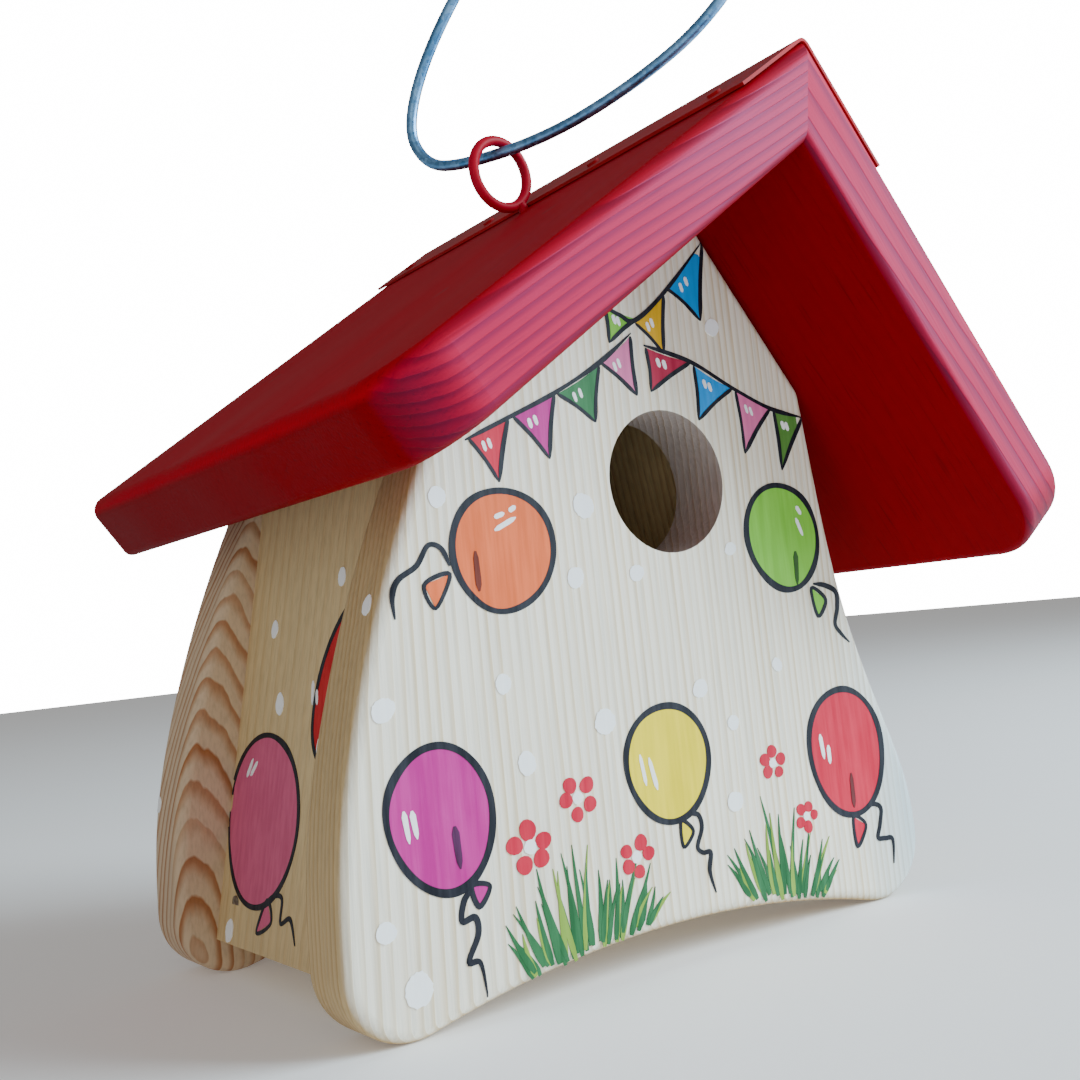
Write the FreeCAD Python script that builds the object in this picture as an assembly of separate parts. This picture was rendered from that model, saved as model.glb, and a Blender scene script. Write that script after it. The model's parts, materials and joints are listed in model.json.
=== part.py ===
import FreeCAD, Part
import math
import os

# Hand-made crooked birdhouse with a ridge roof, hung from a wire loop.
# Frame: +Z up, the front looks along -Y, +X is to the right seen from the front.
# Origin: on the plane of the feet, under the middle of the roof's plan.
# The entrance hole's axis lies in the plane X = 0.
Vector = FreeCAD.Vector

# Boards
board_thickness = 18.0
house_depth = 112.0
board_edge_radius = 3.0
shoulder_radius = 5.0

# Front and back board outline: one template, seen from the front
left_foot_x = -90.4
right_foot_x = 71.5
foot_radius = 15.0
foot_rise_angle = 14.0
left_shoulder_x = -60.5
right_shoulder_x = 47.3
left_flank = [(-71.0, 101.0), (-82.4, 69.0), (-89.3, 38.0)]
right_flank = [(50.5, 101.0), (56.4, 69.0), (65.8, 42.0)]

# Entrance hole
entrance_diameter = 34.0
entrance_height = 108.0

# Side panels lean towards each other
panel_tilt = 10.5
panel_bottom = 9.0
left_panel_foot_x = -81.4
right_panel_foot_x = 61.3

# Roof
roof_thickness = 18.0
left_pitch = 35.5
right_pitch = 54.5
left_roof_length = 140.0
right_roof_length = 135.0
ridge_height = 177.5
front_overhang = 45.0
rear_overhang = 23.0
front_corner_radius = 16.0
rear_corner_radius = 4.5
roof_top_radius = 4.0
roof_under_radius = 2.5

# Sheet ridge cap
cap_thickness = 0.8
left_cap_wing = 24.5
right_cap_wing = 34.0
cap_end_inset = 1.5

# Floor hatch, its two pivot nails and its turn button
floor_thickness = 18.0
floor_side_gap = 1.0
floor_end_gap = 1.0
drain_diameter = 6.0
drain_inset = 20.0
pivot_nail_diameter = 2.5
pivot_nail_length = 36.0
pivot_head_diameter = 4.2
pivot_head_height = 1.4
running_clearance = 0.08
button_length = 32.0
button_width = 10.0
button_thickness = 2.0
button_gap = 0.3
button_set_back = 14.0
button_screw_diameter = 3.5
button_screw_length = 20.0
button_head_diameter = 7.0
button_head_height = 2.2
button_head_rounding = 1.3

# Staples through the front and back boards into the side panels' edges
staple_crown = 8.5
staple_wire = 1.2
staple_leg = 34.0
staple_sink = 0.5
left_staple_inset = 12.5
right_staple_inset = 9.0
left_staple_heights = [35.0, 90.0]
right_staple_heights = [28.5, 85.0]

# Roof nails into the front and back boards' top edges
roof_nail_diameter = 1.8
roof_nail_length = 40.0
roof_nail_head_diameter = 4.4
roof_nail_head_height = 1.0
roof_nail_stagger = 4.0
left_nail_reach = [50.0, 88.0]
right_nail_reach = [40.0, 62.0]

# Tacks that hold the ridge cap
tack_diameter = 1.2
tack_length = 10.0
tack_head_diameter = 3.6
tack_head_height = 0.9
tack_edge_distance = 6.0
tack_places = [-74.0, -26.0, 26.0, 74.0]

# Screw eye and the wire loop through it
eye_y = -1.0
eye_turn = 9.0
eye_cap_gap = 0.3
eye_wire_diameter = 2.8
eye_outer_diameter = 21.0
eye_neck = 0.8
eye_shank_length = 16.0
hanger_diameter = 3.0
hanger_play = 0.5
hanger_turn = 60.0
hanger_bend_share = 0.45
hanger_points = [
    (-14.0, -0.8), (14.0, 0.8), (40.0, 8.8), (62.0, 20.0), (78.0, 38.0), (84.0, 61.0), (70.0, 81.0),
    (45.0, 87.0), (19.0, 75.0), (-3.0, 54.0), (-20.0, 32.0), (-27.2, 13.5), (-23.0, 3.0),
]

# How far a drill runs past a face, and how close two places are taken to be the same
drill_margin = 2.0
same_place = 0.01

# Slopes and the ridge
left_angle = math.radians(left_pitch)
right_angle = math.radians(right_pitch)
left_slope = math.tan(left_angle)
right_slope = math.tan(right_angle)
tilt_slope = math.tan(math.radians(panel_tilt))
apex_shift = roof_thickness * (1 / math.cos(right_angle) - 1 / math.cos(left_angle))
apex_shift = apex_shift / (left_slope + right_slope)
outer_ridge_x = (left_roof_length * math.cos(left_angle) - right_roof_length * math.cos(right_angle)) / 2
ridge_x = outer_ridge_x - apex_shift
outer_ridge_z = ridge_height + apex_shift * left_slope + roof_thickness / math.cos(left_angle)

# Depths along Y
roof_depth = front_overhang + house_depth + rear_overhang
roof_front = -roof_depth / 2
roof_back = roof_depth / 2
front_face = roof_front + front_overhang
back_face = front_face + house_depth
panel_front = front_face + board_thickness
panel_back = back_face - board_thickness

# Floor hatch pivot, along X
floor_front = panel_front + floor_end_gap
floor_back = panel_back - floor_end_gap
pivot_y = floor_back - floor_thickness / 2
pivot_z = panel_bottom + floor_thickness / 2

# Directions of the two slopes, from the ridge to the eave, and their outward normals
left_down = Vector(-math.cos(left_angle), 0, -math.sin(left_angle))
right_down = Vector(math.cos(right_angle), 0, -math.sin(right_angle))
left_out = Vector(-math.sin(left_angle), 0, math.cos(left_angle))
right_out = Vector(math.sin(right_angle), 0, math.cos(right_angle))
inner_ridge = Vector(ridge_x, 0, ridge_height)
outer_ridge = Vector(outer_ridge_x, 0, outer_ridge_z)


def at_depth(point, y):
    return Vector(point.x, y, point.z)


def underside_height(x):
    if x < ridge_x:
        return ridge_height - (ridge_x - x) * left_slope
    return ridge_height - (x - ridge_x) * right_slope


def prism(points, start_y, depth):
    wire = Part.makePolygon([at_depth(point, start_y) for point in points + points[:1]])
    return Part.Face(wire).extrude(Vector(0, depth, 0))


def rod(start, direction, diameter, length):
    return Part.makeCylinder(diameter / 2, length, start, direction)


def flank_curve(points):
    curve = Part.BSplineCurve()
    curve.interpolate(Points=points, InitialTangent=points[1] - points[0], FinalTangent=Vector(0, 0, -1))
    return curve.toShape()


def foot_arc(centre, first, last):
    middle = (first + last) / 2
    points = []
    for angle in (first, middle, last):
        turn = math.radians(angle)
        points.append(centre + Vector(math.cos(turn), 0, math.sin(turn)) * foot_radius)
    return Part.Arc(*points).toShape(), points[0], points[2]


# Bell-shaped outline: gable, flanks, round feet and an arched bottom edge
def board_outline():
    left_centre = Vector(left_foot_x + foot_radius, 0, foot_radius)
    right_centre = Vector(right_foot_x - foot_radius, 0, foot_radius)
    left_arc, left_side, left_toe = foot_arc(left_centre, 180, 270 + foot_rise_angle)
    right_arc, right_toe, right_side = foot_arc(right_centre, 270 - foot_rise_angle, 360)
    half_span = (right_toe.x - left_toe.x) / 2
    rise = half_span * math.tan(math.radians(foot_rise_angle / 2))
    crown = Vector(left_toe.x + half_span, 0, left_toe.z + rise)
    left_shoulder = Vector(left_shoulder_x, 0, underside_height(left_shoulder_x))
    right_shoulder = Vector(right_shoulder_x, 0, underside_height(right_shoulder_x))
    left_points = [left_shoulder] + [Vector(x, 0, z) for x, z in left_flank] + [left_side]
    right_points = [right_shoulder] + [Vector(x, 0, z) for x, z in right_flank] + [right_side]
    edges = [
        Part.makeLine(left_shoulder, inner_ridge),
        Part.makeLine(inner_ridge, right_shoulder),
        flank_curve(right_points),
        right_arc,
        Part.Arc(right_toe, crown, left_toe).toShape(),
        left_arc,
        flank_curve(left_points),
    ]
    return Part.Wire(Part.__sortEdges__(edges))


def on_gable(edge):
    middle = edge.valueAt((edge.FirstParameter + edge.LastParameter) / 2)
    return abs(middle.z - underside_height(middle.x)) < same_place


def gable_board(start_y, has_entrance):
    solid = Part.Face(board_outline()).extrude(Vector(0, board_thickness, 0))
    shoulders = []
    for edge in solid.Edges:
        middle = edge.CenterOfMass
        along_y = edge.BoundBox.YLength > board_thickness / 2
        offset = min(abs(middle.x - left_shoulder_x), abs(middle.x - right_shoulder_x))
        if along_y and offset < same_place:
            shoulders.append(edge)
    solid = solid.makeFillet(shoulder_radius, shoulders)
    rim = [edge for edge in solid.Edges if edge.BoundBox.YLength < same_place and not on_gable(edge)]
    solid = solid.makeFillet(board_edge_radius, rim)
    solid.translate(Vector(0, start_y, 0))
    if has_entrance:
        start = Vector(0, start_y - drill_margin, entrance_height)
        drill = rod(start, Vector(0, 1, 0), entrance_diameter, board_thickness + 2 * drill_margin)
        solid = solid.cut(drill)
    return solid


# The x of a side panel's outer face at a height; side is -1 for left and 1 for right
def panel_outer_x(side, z):
    foot_x = left_panel_foot_x if side < 0 else right_panel_foot_x
    return foot_x - side * (z - panel_bottom) * tilt_slope


# The space below both roof boards, between the front and back boards
def under_roof():
    left_eave = inner_ridge + left_down * left_roof_length
    right_eave = inner_ridge + right_down * right_roof_length
    points = [inner_ridge, left_eave, Vector(left_eave.x, 0, 0), Vector(right_eave.x, 0, 0), right_eave]
    return prism(points, panel_front, panel_back - panel_front)


def side_panel(side):
    width = board_thickness / math.cos(math.radians(panel_tilt))
    points = []
    for z, offset in ((panel_bottom, 0), (panel_bottom, width), (ridge_height, width), (ridge_height, 0)):
        points.append(Vector(panel_outer_x(side, z) - side * offset, 0, z))
    return prism(points, panel_front, panel_back - panel_front).common(under_roof())


# Cut square to clear the leaning panels at its top corners, so that it turns freely between them
def floor_hatch():
    width = board_thickness / math.cos(math.radians(panel_tilt)) + floor_side_gap
    top = panel_bottom + floor_thickness
    left_end = panel_outer_x(-1, top) + width
    right_end = panel_outer_x(1, top) - width
    solid = Part.makeBox(right_end - left_end, floor_back - floor_front, floor_thickness,
                         Vector(left_end, floor_front, panel_bottom))
    nose_box = Part.makeBox(right_end - left_end, floor_thickness, floor_thickness)
    nose_box.translate(Vector(left_end, pivot_y, panel_bottom))
    nose = rod(Vector(left_end, pivot_y, pivot_z), Vector(1, 0, 0), floor_thickness, right_end - left_end)
    solid = solid.cut(nose_box.cut(nose))
    for x in (left_end + drain_inset, right_end - drain_inset):
        for y in (floor_front + drain_inset, pivot_y - drain_inset):
            start = Vector(x, y, panel_bottom - drill_margin)
            drill = rod(start, Vector(0, 0, 1), drain_diameter, floor_thickness + 2 * drill_margin)
            solid = solid.cut(drill)
    return solid


def pivot_nail(side, clearance):
    start = Vector(panel_outer_x(side, pivot_z), pivot_y, pivot_z)
    inward = Vector(-side, 0, 0)
    shank = rod(start, inward, pivot_nail_diameter + 2 * clearance, pivot_nail_length)
    return shank.fuse(rod(start, inward, pivot_head_diameter, pivot_head_height))


# Turn button under the right panel's bottom edge, turned clear of the hatch
button_x = panel_outer_x(1, panel_bottom) - board_thickness / 2
button_y = panel_front + button_set_back
button_top = panel_bottom - button_gap


def turn_button():
    radius = button_width / 2
    bottom = button_top - button_thickness
    reach = button_length - button_width
    start = Vector(button_x, button_y, bottom)
    solid = rod(start, Vector(0, 0, 1), button_width, button_thickness)
    solid = solid.fuse(rod(start + Vector(0, reach, 0), Vector(0, 0, 1), button_width, button_thickness))
    bar = Part.makeBox(button_width, reach, button_thickness, start - Vector(radius, 0, 0))
    solid = solid.fuse(bar).removeSplitter()
    hole_diameter = button_screw_diameter + 2 * running_clearance
    start = start - Vector(0, 0, drill_margin)
    return solid.cut(rod(start, Vector(0, 0, 1), hole_diameter, button_thickness + 2 * drill_margin))


def button_screw():
    head_top = button_top - button_thickness - button_gap
    seat = Vector(button_x, button_y, head_top)
    shank = rod(seat, Vector(0, 0, 1), button_screw_diameter, button_screw_length)
    bottom = seat - Vector(0, 0, button_head_height)
    head = rod(bottom, Vector(0, 0, 1), button_head_diameter, button_head_height)
    rim = [edge for edge in head.Edges if edge.BoundBox.ZMax < bottom.z + same_place]
    return shank.fuse(head.makeFillet(button_head_rounding, rim))


# One staple: a crown lying in the board's face and two legs along Y
def staple(x, z, face_y, inward):
    solids = []
    for offset in (-1, 1):
        leg_z = z + offset * (staple_crown - staple_wire) / 2
        solids.append(rod(Vector(x, face_y, leg_z), Vector(0, inward, 0), staple_wire, staple_leg))
    crown = rod(Vector(x, face_y, z - staple_crown / 2), Vector(0, 0, 1), staple_wire, staple_crown)
    return crown.fuse(solids)


def staples(face_y, inward):
    sunk_face = face_y + inward * staple_sink
    solids = []
    for side, heights, inset in ((-1, left_staple_heights, left_staple_inset),
                                 (1, right_staple_heights, right_staple_inset)):
        for z in heights:
            centre_x = panel_outer_x(side, z) - side * inset
            solids.append(staple(centre_x, z, sunk_face, inward))
    return Part.makeCompound(solids)


# The edge through a roof board's thickness at the eave, at its front or its rear end
def eave_corner(solid, down, length, y):
    found = []
    for edge in solid.Edges:
        middle = edge.CenterOfMass
        reach = (middle - at_depth(outer_ridge, middle.y)).dot(down)
        if reach > length - same_place and abs(middle.y - y) < same_place:
            found.append(edge)
    return found


# A roof board's edges at a depth below its top, but for the two long ones at the mitre
def roof_rim(solid, out, depth):
    found = []
    for edge in solid.Edges:
        middle = edge.valueAt((edge.FirstParameter + edge.LastParameter) / 2)
        height = (middle - at_depth(outer_ridge, middle.y)).dot(out)
        at_mitre = edge.BoundBox.YLength > roof_depth - same_place
        if abs(height + depth) < same_place and not at_mitre:
            found.append(edge)
    return found


# A board between the mitre at the ridge and the eave, rounded in plan at the eave's two corners
def roof_board(down, out, length):
    outer_eave = outer_ridge + down * length
    inner_eave = outer_eave - out * roof_thickness
    solid = prism([inner_ridge, outer_ridge, outer_eave, inner_eave], roof_front, roof_depth)
    for y, radius in ((roof_front, front_corner_radius), (roof_back, rear_corner_radius)):
        solid = solid.makeFillet(radius, eave_corner(solid, down, length, y))
    for depth, radius in ((0, roof_top_radius), (roof_thickness, roof_under_radius)):
        solid = solid.makeFillet(radius, roof_rim(solid, out, depth))
    return solid


def ridge_cap():
    mitre = (left_out + right_out).normalize() * (cap_thickness / math.cos((left_angle + right_angle) / 2))
    left_edge = outer_ridge + left_down * left_cap_wing
    right_edge = outer_ridge + right_down * right_cap_wing
    points = [
        outer_ridge,
        left_edge,
        left_edge + left_out * cap_thickness,
        outer_ridge + mitre,
        right_edge + right_out * cap_thickness,
        right_edge,
    ]
    return prism(points, roof_front + cap_end_inset, roof_depth - 2 * cap_end_inset)


def nail(top, direction, shank_diameter, length, head_diameter, head_height):
    shank = rod(top, direction, shank_diameter, length)
    return shank.fuse(rod(top, direction, head_diameter, head_height))


# Nails driven square to a roof board into the top edges of the front and back boards
def roof_nails(down, out, reaches, stagger):
    solids = []
    for y in (front_face + board_thickness / 2 + stagger, back_face - board_thickness / 2 + stagger):
        for reach in reaches:
            top = at_depth(outer_ridge + down * reach, y)
            solids.append(nail(top, out * -1, roof_nail_diameter, roof_nail_length,
                               roof_nail_head_diameter, roof_nail_head_height))
    return Part.makeCompound(solids)


def cap_tacks(down, out, wing):
    solids = []
    for y in tack_places:
        seat = at_depth(outer_ridge + down * (wing - tack_edge_distance) + out * cap_thickness, y)
        top = seat + out * tack_head_height
        solids.append(nail(top, out * -1, tack_diameter, tack_length, tack_head_diameter, tack_head_height))
    return Part.makeCompound(solids)


# Screw eye standing square to the left slope beside the ridge cap's edge, its ring upright
eye_mean_radius = (eye_outer_diameter - eye_wire_diameter) / 2
eye_reach = left_cap_wing + eye_wire_diameter / 2 + eye_cap_gap
eye_base = at_depth(outer_ridge + left_down * eye_reach, eye_y)
eye_centre = eye_base + left_out * (eye_neck + eye_outer_diameter / 2)
eye_top = eye_centre + Vector(0, 0, eye_mean_radius)
eye_axis = Vector(-math.sin(math.radians(eye_turn)), math.cos(math.radians(eye_turn)), 0)


def eye_shank():
    length = eye_wire_diameter / 2 + eye_neck + eye_shank_length
    return rod(eye_centre - left_out * eye_mean_radius, left_out * -1, eye_wire_diameter, length)


def screw_eye():
    ring = Part.makeTorus(eye_mean_radius, eye_wire_diameter / 2, eye_centre, eye_axis)
    return ring.fuse(eye_shank())


# A bend's arc at one point of a closed route, with the ends where its two runs meet it
def bend(before, point, after):
    back = before - point
    onward = after - point
    cut = hanger_bend_share * min(back.Length, onward.Length)
    start = point + back.normalize() * cut
    end = point + onward.normalize() * cut
    half_turn = (math.pi - back.getAngle(onward)) / 2
    inset = cut * (1 / math.cos(half_turn) - 1) / math.tan(half_turn)
    return start, point + (back + onward).normalize() * inset, end


# Closed wire loop through the ring, in an upright plane turned away from the X axis
def hanger_wire():
    turn = math.radians(hanger_turn)
    along = Vector(math.cos(turn), -math.sin(turn), 0)
    drop = (eye_wire_diameter + hanger_diameter) / 2 + hanger_play
    origin = eye_top - Vector(0, 0, drop)
    corners = [origin + along * reach + Vector(0, 0, height) for reach, height in hanger_points]
    bends = []
    for place, corner in enumerate(corners):
        bends.append(bend(corners[place - 1], corner, corners[(place + 1) % len(corners)]))
    edges = []
    for place, (start, middle, end) in enumerate(bends):
        edges.append(Part.makeLine(bends[place - 1][2], start))
        edges.append(Part.Arc(start, middle, end).toShape())
    route = Part.Wire(edges)
    tangent = (bends[0][0] - bends[-1][2]).normalize()
    section = Part.Wire(Part.makeCircle(hanger_diameter / 2, bends[-1][2], tangent))
    return route.makePipeShell([section], True, False)


front_staples = staples(front_face, 1)
rear_staples = staples(back_face, -1)
left_roof_nails = roof_nails(left_down, left_out, left_nail_reach, -roof_nail_stagger)
right_roof_nails = roof_nails(right_down, right_out, right_nail_reach, roof_nail_stagger)
left_cap_tacks = cap_tacks(left_down, left_out, left_cap_wing)
right_cap_tacks = cap_tacks(right_down, right_out, right_cap_wing)
left_pivot_nail = pivot_nail(-1, 0)
right_pivot_nail = pivot_nail(1, 0)
screw = button_screw()
eye = screw_eye()
shank_drill = eye_shank()


def bored(solid, *tools):
    for tool in tools:
        solid = solid.cut(tool)
    return solid


parts = {
    "front_board": bored(gable_board(front_face, True), front_staples, left_roof_nails, right_roof_nails),
    "back_board": bored(gable_board(back_face - board_thickness, False), rear_staples,
                        left_roof_nails, right_roof_nails),
    "left_side_panel": bored(side_panel(-1), front_staples, rear_staples, left_pivot_nail),
    "right_side_panel": bored(side_panel(1), front_staples, rear_staples, right_pivot_nail, screw),
    "floor_hatch": bored(floor_hatch(), pivot_nail(-1, running_clearance), pivot_nail(1, running_clearance)),
    "left_pivot_nail": left_pivot_nail,
    "right_pivot_nail": right_pivot_nail,
    "turn_button": turn_button(),
    "turn_button_screw": screw,
    "left_roof_board": bored(roof_board(left_down, left_out, left_roof_length),
                             left_roof_nails, left_cap_tacks, shank_drill),
    "right_roof_board": bored(roof_board(right_down, right_out, right_roof_length),
                              right_roof_nails, right_cap_tacks),
    "ridge_cap": bored(ridge_cap(), left_cap_tacks, right_cap_tacks),
    "left_cap_tacks": left_cap_tacks,
    "right_cap_tacks": right_cap_tacks,
    "left_roof_nails": left_roof_nails,
    "right_roof_nails": right_roof_nails,
    "front_staples": front_staples,
    "rear_staples": rear_staples,
    "screw_eye": eye,
    "hanger_wire": hanger_wire(),
}

os.makedirs("parts", exist_ok=True)
for name, shape in parts.items():
    shape.exportStep("parts/" + name + ".step")
    print(name, shape.isValid(), len(shape.Solids), round(shape.Volume))
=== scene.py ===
import json
import math
import random

import bmesh
import bpy
from mathutils import Matrix, Vector, noise
from mathutils.bvhtree import BVHTree
from mathutils.geometry import delaunay_2d_cdt


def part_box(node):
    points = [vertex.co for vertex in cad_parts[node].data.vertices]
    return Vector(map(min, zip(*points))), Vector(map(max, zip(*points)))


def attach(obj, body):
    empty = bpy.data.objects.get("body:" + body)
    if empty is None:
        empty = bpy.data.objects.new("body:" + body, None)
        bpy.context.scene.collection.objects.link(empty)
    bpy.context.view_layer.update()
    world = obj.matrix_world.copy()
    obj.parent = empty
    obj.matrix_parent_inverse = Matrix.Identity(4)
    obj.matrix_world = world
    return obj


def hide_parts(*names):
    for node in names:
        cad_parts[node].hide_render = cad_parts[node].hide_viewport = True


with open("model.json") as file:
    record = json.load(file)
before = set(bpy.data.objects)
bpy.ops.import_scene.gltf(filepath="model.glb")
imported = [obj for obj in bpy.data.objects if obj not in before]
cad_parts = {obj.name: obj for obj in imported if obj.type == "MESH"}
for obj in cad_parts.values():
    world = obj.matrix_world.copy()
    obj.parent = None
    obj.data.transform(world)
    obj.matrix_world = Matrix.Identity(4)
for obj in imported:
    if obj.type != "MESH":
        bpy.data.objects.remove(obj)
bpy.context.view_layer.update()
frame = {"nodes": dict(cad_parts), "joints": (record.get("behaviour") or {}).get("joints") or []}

mm = 0.001
cadNodes = frame["nodes"]
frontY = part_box("front_board")[0].y
print("frame loaded")


def addObject(name, data):
    made = bpy.data.objects.new(name, data)
    bpy.context.scene.collection.objects.link(made)
    return made


# Studio

studio = {
    "cameraAt": (-0.1982, -0.2900, 0.0779),
    "heading": 37.28,  # degrees from straight ahead towards the right
    "pitch": 6.79,
    "roll": 5.86,
    "lens": 44.64,
    "sensor": 36.0,
    "nearest": 0.01,
    "shift": (-0.0790, -0.0797),
    "windowAt": (0.86, -0.80, 0.62),
    "windowSize": 0.85,
    "windowPower": 37.0,
    "windowTint": (0.72, 0.89, 1.0),
    "fillAt": (-0.75, -0.75, 0.45),
    "fillSize": 1.0,
    "fillPower": 2.4,
    "fillTint": (1.0, 0.95, 0.88),
    "aim": (-0.01, 0.0, 0.10),
    "skyTint": (1.0, 0.985, 0.96, 1),
    "skyGlow": 0.28,
    "backdropGlow": 16.0,
    "floorTint": (0.95, 0.95, 0.95, 1),
    "floorRough": 0.8,
    "floorGlow": 0.12,
    "floorHalf": 3.0,
}


def buildCamera():
    data = bpy.data.cameras.new("camera")
    data.sensor_width = studio["sensor"]
    data.lens = studio["lens"]
    data.shift_x, data.shift_y = studio["shift"]
    data.clip_start = studio["nearest"]
    camera = addObject("camera", data)
    yaw = Matrix.Rotation(math.radians(-studio["heading"]), 4, "Z")
    tip = Matrix.Rotation(math.radians(90 + studio["pitch"]), 4, "X")
    roll = Matrix.Rotation(math.radians(-studio["roll"]), 4, "Z")
    camera.matrix_world = Matrix.Translation(studio["cameraAt"]) @ yaw @ tip @ roll
    bpy.context.scene.camera = camera


def softLight(name, at, size, power, tint):
    data = bpy.data.lights.new(name, "AREA")
    data.shape = "SQUARE"
    data.size = size
    data.energy = power
    data.color = tint
    light = addObject(name, data)
    light.location = at
    light.rotation_euler = (Vector(studio["aim"]) - Vector(at)).to_track_quat("-Z", "Y").to_euler()


def buildSky():
    world = bpy.data.worlds.new("studio")
    bpy.context.scene.world = world
    world.use_nodes = True
    tree = world.node_tree
    tree.nodes.clear()
    out = tree.nodes.new("ShaderNodeOutputWorld")
    light = tree.nodes.new("ShaderNodeBackground")
    light.inputs[0].default_value = studio["skyTint"]
    light.inputs[1].default_value = studio["skyGlow"]
    seen = tree.nodes.new("ShaderNodeBackground")
    seen.inputs[0].default_value = (1, 1, 1, 1)
    seen.inputs[1].default_value = studio["backdropGlow"]
    path = tree.nodes.new("ShaderNodeLightPath")
    mix = tree.nodes.new("ShaderNodeMixShader")
    tree.links.new(path.outputs["Is Camera Ray"], mix.inputs[0])
    tree.links.new(light.outputs[0], mix.inputs[1])
    tree.links.new(seen.outputs[0], mix.inputs[2])
    tree.links.new(mix.outputs[0], out.inputs[0])


# Short ways to build node trees


def place(tree, kind, inputs=None, **settings):
    made = tree.nodes.new(kind)
    for key, value in settings.items():
        setattr(made, key, value)
    for key, value in (inputs or {}).items():
        if isinstance(value, bpy.types.NodeSocket):
            tree.links.new(value, made.inputs[key])
        else:
            made.inputs[key].default_value = value
    return made


def calc(tree, operation, a, b=0.0):
    return place(tree, "ShaderNodeMath", {0: a, 1: b}, operation=operation).outputs[0]


def scaleAdd(tree, value, factor, extra):
    return calc(tree, "ADD", calc(tree, "MULTIPLY", value, factor), extra)


def blendColour(tree, share, first, second, mode="MIX"):
    return place(tree, "ShaderNodeMix", {0: share, 6: first, 7: second}, data_type="RGBA",
                 blend_type=mode).outputs[2]


def ramp(tree, value, stops):
    made = place(tree, "ShaderNodeValToRGB", {0: value})
    bands = made.color_ramp
    while len(bands.elements) < len(stops):
        bands.elements.new(0.5)
    for element, (spot, level) in zip(bands.elements, stops):
        element.position = spot
        element.color = (level, level, level, 1)
    return made.outputs[0]


def spread(tree, vector, scale):
    return place(tree, "ShaderNodeVectorMath", {0: vector, 1: scale}, operation="MULTIPLY").outputs[0]


def cloud(tree, vector, scale, detail=3.0):
    return place(tree, "ShaderNodeTexNoise", {"Vector": vector, "Scale": scale, "Detail": detail})


def newFinish(name):
    finish = bpy.data.materials.new(name)
    finish.use_nodes = True
    tree = finish.node_tree
    tree.nodes.clear()
    shader = place(tree, "ShaderNodeBsdfPrincipled")
    place(tree, "ShaderNodeOutputMaterial", {0: shader.outputs[0]})
    return finish, tree, shader


def roughen(tree, shader, height, depth, strength=1.0):
    bump = place(tree, "ShaderNodeBump", {"Height": height, "Distance": depth, "Strength": strength})
    tree.links.new(bump.outputs[0], shader.inputs["Normal"])


def tint(code):
    channels = [int(code[i:i + 2], 16) / 255 for i in (0, 2, 4)]
    linear = [c / 12.92 if c <= 0.04045 else ((c + 0.055) / 1.055) ** 2.4 for c in channels]
    return (*linear, 1)


# Wood: growth rings about the log's heart, so that every face shows the cut it would have

# Heart in metres, turn in degrees, ring and wander in mm
logs = {
    "front_board": {"heart": (-0.20, 0.15, 0.0), "turn": (0, 0, 0), "ring": 1.55, "wander": 4.0,
                    "early": "f9f3e2", "late": "d6ba88", "bold": 0.66},
    "back_board": {"heart": (-0.088, 0.052, -0.012), "turn": (17, 0, 6), "ring": 2.7, "wander": 3.0,
                   "early": "d4bc9c", "late": "a4683a", "bold": 0.95},
    "left_side_panel": {"heart": (-0.12, -0.30, 0.0), "turn": (0, 2, 0), "ring": 4.6, "wander": 7.0,
                        "early": "dcc290", "late": "c4a06c", "bold": 0.45},
    "right_side_panel": {"heart": (0.10, -0.25, 0.0), "turn": (0, -3, 0), "ring": 2.6, "wander": 5.0,
                         "early": "e2c692", "late": "b98f5e", "bold": 0.7},
    "floor_hatch": {"heart": (0.0, 0.02, -0.06), "turn": (0, 87, 0), "ring": 2.8, "wander": 4.0,
                    "early": "e6cf9f", "late": "c49a65", "bold": 0.8},
    "left_roof_board": {"heart": (-0.006, -0.052, 0.110), "turn": (2, 58, 0), "ring": 2.1, "wander": 13.0},
    "right_roof_board": {"heart": (0.002, -0.030, 0.112), "turn": (-2, -33, 0), "ring": 3.0, "wander": 10.0},
}

# Pattern sizes are across the log twice, then along it
woodGrain = {"drift": (9, 9, 3.2), "fray": (260, 260, 9), "frayReach": 0.55, "fibre": (1500, 1500, 38),
             "blotch": (24, 24, 7),
             "ringShade": [(0.0, 0.0), (0.42, 0.10), (0.80, 0.92), (0.92, 1.0), (1.0, 0.0)]}


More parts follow.
